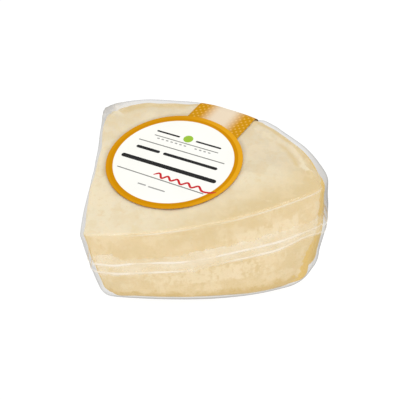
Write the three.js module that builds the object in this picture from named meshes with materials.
// A hand-cut wedge of provolone, shrink-wrapped in clear film, with a round paper label on its top
// and a printed tape that runs from the label over the rind side and down the back.
// Millimetres, +Z up. The wedge stands on z = 0 and the origin is under the middle of its box.

import * as THREE from "three";

// The wrapped wedge seen from above has three corners, listed anticlockwise, so that its sides are
// the long cut (left), the front cut, and the rind (an arc of the round cheese it was cut from).
const TOP_CORNERS = [[-40.4, 37.2], [-45.3, -37.1], [46.5, -17.8]];
const BASE_CORNERS = [[-33.8, 36.2], [-38.3, -36.7], [43.3, -27.9]];
const TOP_BULGES = [0.9, 7.8, 21.8]; // how far each side bows out from its straight chord
const BASE_BULGES = [0.9, 7.6, 24.7];
const TOP_SOFTNESS = [6.6, 3.1, 12.1]; // half the length over which each corner is rounded off
const BASE_SOFTNESS = [8.6, 2.4, 14.2];
const EDGE_SOFTNESS = 0.8; // the same away from the corners
const CENTRE = [-5.4, -2.7]; // the point that the flat top and base close on

const MIDDLE_HEIGHT = 38.8; // height of the top above x = 0
const TOP_TILT = THREE.MathUtils.degToRad(4.5); // the cheese was cut a little thicker towards +X
const BASE_ROUND = 7.1; // round of the lower edge, where the film draws under
const CUT_ROUND = 1.9; // crisp upper edge of the two cuts
const RIND_ROUND = 4.1; // softer shoulder of the rind
const CUT_BELLY = 0.5; // how far the walls swell at half height
const RIND_BELLY = 1.2;

// The film's weld runs round the walls as two low ridges, at these shares of the local height.
const RIDGE_HEIGHTS = [0.53, 0.64];
const RIDGE_RISE = 0.3;
const RIDGE_HALF_WIDTH = 0.026; // also a share of the local height
const RIDGE_WAVE = 0.008; // how far they wander up and down, and how often round the pack
const RIDGE_WAVES = 5;

const LABEL_RADIUS = 25.6;
const LABEL_THICKNESS = 0.3;
const LABEL_CENTRE = [-12.3, -0.7];
const TAPE_WIDTH = 23.9;
const TAPE_THICKNESS = 0.3;
const TAPE_ANGLE = THREE.MathUtils.degToRad(56.1); // its run over the top, from +X
const TAPE_OFFSET = -8.0; // its centre line's distance from the origin, across the run
const TAPE_END_HEIGHT = 9; // where it ends on the back wall
const GAP = 0.33; // clearance between pieces that touch in the real pack

const SIDE_STEPS = 36; // outline points on each of the three sides
const CORNER_CROWDING = 0.12; // draws the outline points towards the corners
const RIND_BLEND_STEPS = 15; // outline points over which a cut's form passes into the rind's
const FLAT_SHARES = [0.4, 0.8]; // rows on the flat base and top, as shares of the way out
const BASE_ROUND_STEPS = 5;
const TOP_ROUND_STEPS = 5;
const WALL_FILL_STEPS = 3; // rows between the ridges and each edge
const SOFTEN_SAMPLES = 24;
const TAPE_COLUMNS = 10;
const TAPE_TOP_STEPS = 6;
const LABEL_SIDES = 96;

const cheeseFilm = new THREE.MeshStandardMaterial({ color: 0xead6ab, roughness: 0.35, metalness: 0 });
const labelPaper = new THREE.MeshStandardMaterial({ color: 0xfcfcf6, roughness: 0.5, metalness: 0 });
const tapePrint = new THREE.MeshStandardMaterial({ color: 0xd89c2a, roughness: 0.5, metalness: 0 });

const mix = (a, b, share) => a + (b - a) * share;
const mixPoint = (p, q, share) => p.map((value, axis) => mix(value, q[axis], share));
const smooth = (value) => THREE.MathUtils.smoothstep(value, 0, 1);
const hump = (share) => Math.sin(Math.PI * share) ** 2; // 0 at both ends and 1 half way
const topHeight = (x) => MIDDLE_HEIGHT + Math.tan(TOP_TILT) * x;

// Points from corner p towards q, on the circular arc that bows out to the right of that walk.
function bowedSide(p, q, bulge) {
  const chord = Math.hypot(q[0] - p[0], q[1] - p[1]);
  const along = [(q[0] - p[0]) / chord, (q[1] - p[1]) / chord];
  const outward = [along[1], -along[0]];
  const radius = (chord * chord / 4 + bulge * bulge) / (2 * bulge);
  const halfAngle = Math.asin(chord / 2 / radius);
  return Array.from({ length: SIDE_STEPS }, (_, i) => {
    const share = i / SIDE_STEPS - CORNER_CROWDING * Math.sin(2 * Math.PI * i / SIDE_STEPS);
    const angle = mix(-halfAngle, halfAngle, share);
    const run = chord / 2 + radius * Math.sin(angle);
    const rise = radius * (Math.cos(angle) - Math.cos(halfAngle));
    return [0, 1].map((axis) => p[axis] + run * along[axis] + rise * outward[axis]);
  });
}

// The closed outline through three bowed sides, each corner rounded by averaging the outline over a
// stretch that is widest at the corner and dies away within three times its length.
function softOutline(corners, bulges, softness) {
  const sharp = corners.flatMap((corner, i) => bowedSide(corner, corners[(i + 1) % 3], bulges[i]));
  const walked = [0];
  sharp.forEach((point, i) => {
    const next = sharp[(i + 1) % sharp.length];
    walked.push(walked[i] + Math.hypot(next[0] - point[0], next[1] - point[1]));
  });
  const whole = walked[sharp.length];
  const pointAt = (distance) => {
    const place = (distance % whole + whole) % whole;
    const after = walked.findIndex((value) => value > place);
    const share = (place - walked[after - 1]) / (walked[after] - walked[after - 1]);
    return mixPoint(sharp[after - 1], sharp[after % sharp.length], share);
  };
  const reachAt = (distance) => Math.max(EDGE_SOFTNESS, ...softness.map((reach, corner) => {
    const apart = Math.abs(distance - walked[corner * SIDE_STEPS]);
    return reach * (1 - Math.min(apart, whole - apart) / (3 * reach));
  }));
  return sharp.map((_, i) => {
    const reach = reachAt(walked[i]);
    const sum = [0, 0];
    for (let k = 0; k <= SOFTEN_SAMPLES; k++) {
      const sample = pointAt(walked[i] + reach * (2 * k / SOFTEN_SAMPLES - 1));
      sum[0] += sample[0];
      sum[1] += sample[1];
    }
    return sum.map((value) => value / (SOFTEN_SAMPLES + 1));
  });
}

// How much of the rind's form an outline point takes: 0 on the cuts, 1 on the rind.
function rindShare(i) {
  const count = 3 * SIDE_STEPS;
  const pastLongCut = i < SIDE_STEPS ? i + count : i;
  const into = Math.min(pastLongCut - 2 * SIDE_STEPS, count - pastLongCut);
  return smooth(0.5 + into / RIND_BLEND_STEPS);
}

// A point moved away from the centre line by so many millimetres.
function pushOut(point, distance) {
  const away = [point[0] - CENTRE[0], point[1] - CENTRE[1]];
  const scale = 1 + distance / Math.hypot(away[0], away[1]);
  return [CENTRE[0] + away[0] * scale, CENTRE[1] + away[1] * scale];
}

// Rows of the pack's skin from the middle of the base up the walls to the middle of the top. Each
// row is a closed loop with one [x, y, z] for each outline point.
function packRows() {
  const top = softOutline(TOP_CORNERS, TOP_BULGES, TOP_SOFTNESS);
  const base = softOutline(BASE_CORNERS, BASE_BULGES, BASE_SOFTNESS);
  const count = top.length;
  const topRound = (i) => mix(CUT_ROUND, RIND_ROUND, rindShare(i));
  const wallPoint = (i, z, out) => {
    const lean = mixPoint(base[i], top[i], z / topHeight(top[i][0]));
    return [...pushOut(lean, out), z];
  };
  const row = (pointAt) => Array.from({ length: count }, (_, i) => pointAt(i));
  const rows = [];

  for (const share of FLAT_SHARES) {
    rows.push(row((i) => [...mixPoint(CENTRE, pushOut(base[i], -BASE_ROUND), share), 0]));
  }
  for (let k = 0; k <= BASE_ROUND_STEPS; k++) {
    const turn = Math.PI / 2 * k / BASE_ROUND_STEPS;
    const z = BASE_ROUND * (1 - Math.cos(turn));
    rows.push(row((i) => wallPoint(i, z, BASE_ROUND * (Math.sin(turn) - 1))));
  }
  for (const { share, rise } of wallShares()) {
    rows.push(row((i) => {
      const height = topHeight(top[i][0]);
      const wave = RIDGE_WAVE * Math.sin(2 * Math.PI * RIDGE_WAVES * i / count);
      const z = (share + wave * hump(share)) * height;
      const climb = (z - BASE_ROUND) / (height - topRound(i) - BASE_ROUND);
      const belly = mix(CUT_BELLY, RIND_BELLY, rindShare(i)) * hump(climb);
      return wallPoint(i, z, belly + rise);
    }));
  }
  for (let k = 0; k <= TOP_ROUND_STEPS; k++) {
    const turn = Math.PI / 2 * k / TOP_ROUND_STEPS;
    rows.push(row((i) => {
      const z = topHeight(top[i][0]) - topRound(i) * (1 - Math.sin(turn));
      return wallPoint(i, z, topRound(i) * (Math.cos(turn) - 1));
    }));
  }
  const rim = rows.at(-1);
  for (const share of FLAT_SHARES.toReversed()) {
    rows.push(row((i) => {
      const [x, y] = mixPoint(CENTRE, rim[i], share);
      return [x, y, topHeight(x)];
    }));
  }
  return rows;
}

// The wall rows as shares of the local height: both ridges, and plain rows between and beyond them.
function wallShares() {
  const ridges = RIDGE_HEIGHTS.flatMap((centre) => [-1, 0, 1].map((step) => (
    { share: centre + step * RIDGE_HALF_WIDTH, rise: step === 0 ? RIDGE_RISE : 0 }
  )));
  const lowest = BASE_ROUND / MIDDLE_HEIGHT;
  const highest = 1 - RIND_ROUND / MIDDLE_HEIGHT;
  const plain = (from, to) => Array.from({ length: WALL_FILL_STEPS }, (_, k) => (
    { share: mix(from, to, (k + 1) / (WALL_FILL_STEPS + 1)), rise: 0 }
  ));
  return [
    ...plain(lowest, ridges[0].share),
    ...ridges,
    ...plain(ridges.at(-1).share, highest),
  ];
}

// A closed mesh through rows of points: neighbouring rows are joined by quads that run round the
// loop, and the first and last rows are closed with a fan to a middle point each.
function closedSkin(rows, firstMiddle, lastMiddle) {
  const count = rows[0].length;
  const points = [...rows.flat(), firstMiddle, lastMiddle];
  const first = points.length - 2;
  const last = points.length - 1;
  const faces = [];
  for (let i = 0; i < count; i++) {
    const next = (i + 1) % count;
    for (let r = 0; r + 1 < rows.length; r++) {
      const below = r * count;
      const above = below + count;
      faces.push(below + i, below + next, above + next);
      faces.push(below + i, above + next, above + i);
    }
    const end = (rows.length - 1) * count;
    faces.push(first, next, i);
    faces.push(last, end + i, end + next);
  }
  return skinGeometry(points, faces);
}

function skinGeometry(points, faces) {
  const geometry = new THREE.BufferGeometry();
  geometry.setAttribute("position", new THREE.Float32BufferAttribute(points.flat(), 3));
  geometry.setIndex(faces);
  geometry.computeVertexNormals();
  return geometry;
}

// The film shrunk on to the cheese: a lofted body between the base outline and the top outline.
function makePack(rows) {
  const geometry = closedSkin(rows, [...CENTRE, 0], [...CENTRE, topHeight(CENTRE[0])]);
  const mesh = new THREE.Mesh(geometry, cheeseFilm);
  mesh.name = "pack";
  return mesh;
}

// The round label, a thin disc lying on the tilted top.
function makeLabel() {
  const disc = new THREE.CylinderGeometry(LABEL_RADIUS, LABEL_RADIUS, LABEL_THICKNESS, LABEL_SIDES);
  disc.rotateX(Math.PI / 2);
  const mesh = new THREE.Mesh(disc, labelPaper);
  const lift = (GAP + LABEL_THICKNESS / 2) / Math.cos(TOP_TILT);
  mesh.position.set(...LABEL_CENTRE, topHeight(LABEL_CENTRE[0]) + lift);
  mesh.rotation.y = -TOP_TILT;
  mesh.name = "label";
  return mesh;
}

// Where an upright plane along the tape's run cuts the pack, on the rind side: [run, z] pairs from
// the flat top over the shoulder and down to the tape's end. "across" is the plane's offset.
function tapeSection(rows, across) {
  const run = (p) => p[0] * Math.cos(TAPE_ANGLE) + p[1] * Math.sin(TAPE_ANGLE);
  const side = (p) => p[0] * Math.sin(TAPE_ANGLE) - p[1] * Math.cos(TAPE_ANGLE) - across;
  const crossing = (row) => row.reduce((best, point, i) => {
    const next = row[(i + 1) % row.length];
    if (side(point) * side(next) > 0) return best;
    const hit = mixPoint(point, next, side(point) / (side(point) - side(next)));
    return run(hit) > best[0] ? [run(hit), hit[2]] : best;
  }, [-Infinity, 0]);

  const downTheBack = rows.slice(0, -FLAT_SHARES.length).reverse().map(crossing);
  const kept = downTheBack.filter(([, z]) => z > TAPE_END_HEIGHT);
  const above = kept.at(-1);
  const below = downTheBack[kept.length];
  const end = mixPoint(above, below, (above[1] - TAPE_END_HEIGHT) / (above[1] - below[1]));

  const start = run(LABEL_CENTRE) + Math.sqrt((LABEL_RADIUS + GAP) ** 2 - side(LABEL_CENTRE) ** 2);
  const flat = Array.from({ length: TAPE_TOP_STEPS }, (_, k) => {
    const along = mix(start, kept[0][0], k / TAPE_TOP_STEPS);
    return [along, topHeight(along * Math.cos(TAPE_ANGLE) + across * Math.sin(TAPE_ANGLE))];
  });
  return [...flat, ...kept, end];
}

// A section moved off the surface by "lift", square to its own course.
function liftedSection(section, lift) {
  return section.map((point, k) => {
    const before = section[Math.max(k - 1, 0)];
    const after = section[Math.min(k + 1, section.length - 1)];
    const course = [after[0] - before[0], after[1] - before[1]];
    const length = Math.hypot(...course);
    return [point[0] - course[1] / length * lift, point[1] + course[0] / length * lift];
  });
}

// The tape: a strip whose under face follows the pack, closed round its four edges.
function makeTape(rows) {
  const place = (across) => ([along, z]) => [
    along * Math.cos(TAPE_ANGLE) + across * Math.sin(TAPE_ANGLE),
    along * Math.sin(TAPE_ANGLE) - across * Math.cos(TAPE_ANGLE),
    z,
  ];
  const loops = Array.from({ length: TAPE_COLUMNS + 1 }, (_, column) => {
    const across = TAPE_OFFSET + TAPE_WIDTH * (column / TAPE_COLUMNS - 0.5);
    const section = tapeSection(rows, across);
    const under = liftedSection(section, GAP).map(place(across));
    const over = liftedSection(section, GAP + TAPE_THICKNESS).map(place(across));
    return [...over, ...under.reverse()];
  });
  const mesh = new THREE.Mesh(stripGeometry(loops), tapePrint);
  mesh.name = "tape";
  return mesh;
}

// A closed mesh through equal loops laid side by side. Each loop goes out along the upper face and
// back along the under face, so its two ends are closed by a ladder of quads between the two.
function stripGeometry(loops) {
  const count = loops[0].length;
  const points = loops.flat();
  const faces = [];
  const quad = (a, b, c, d) => faces.push(a, b, c, a, c, d);
  for (let column = 0; column + 1 < loops.length; column++) {
    const left = column * count;
    const right = left + count;
    for (let k = 0; k < count; k++) {
      const next = (k + 1) % count;
      quad(left + k, right + k, right + next, left + next);
    }
  }
  const far = (loops.length - 1) * count;
  for (let k = 0; k + 1 < count / 2; k++) {
    const back = count - 1 - k;
    quad(k, k + 1, back - 1, back);
    quad(far + k, far + back, far + back - 1, far + k + 1);
  }
  return skinGeometry(points, faces);
}

const rows = packRows();
const wedge = new THREE.Group();
wedge.name = "provolone_wedge";
wedge.add(makePack(rows), makeLabel(), makeTape(rows));

export default wedge;
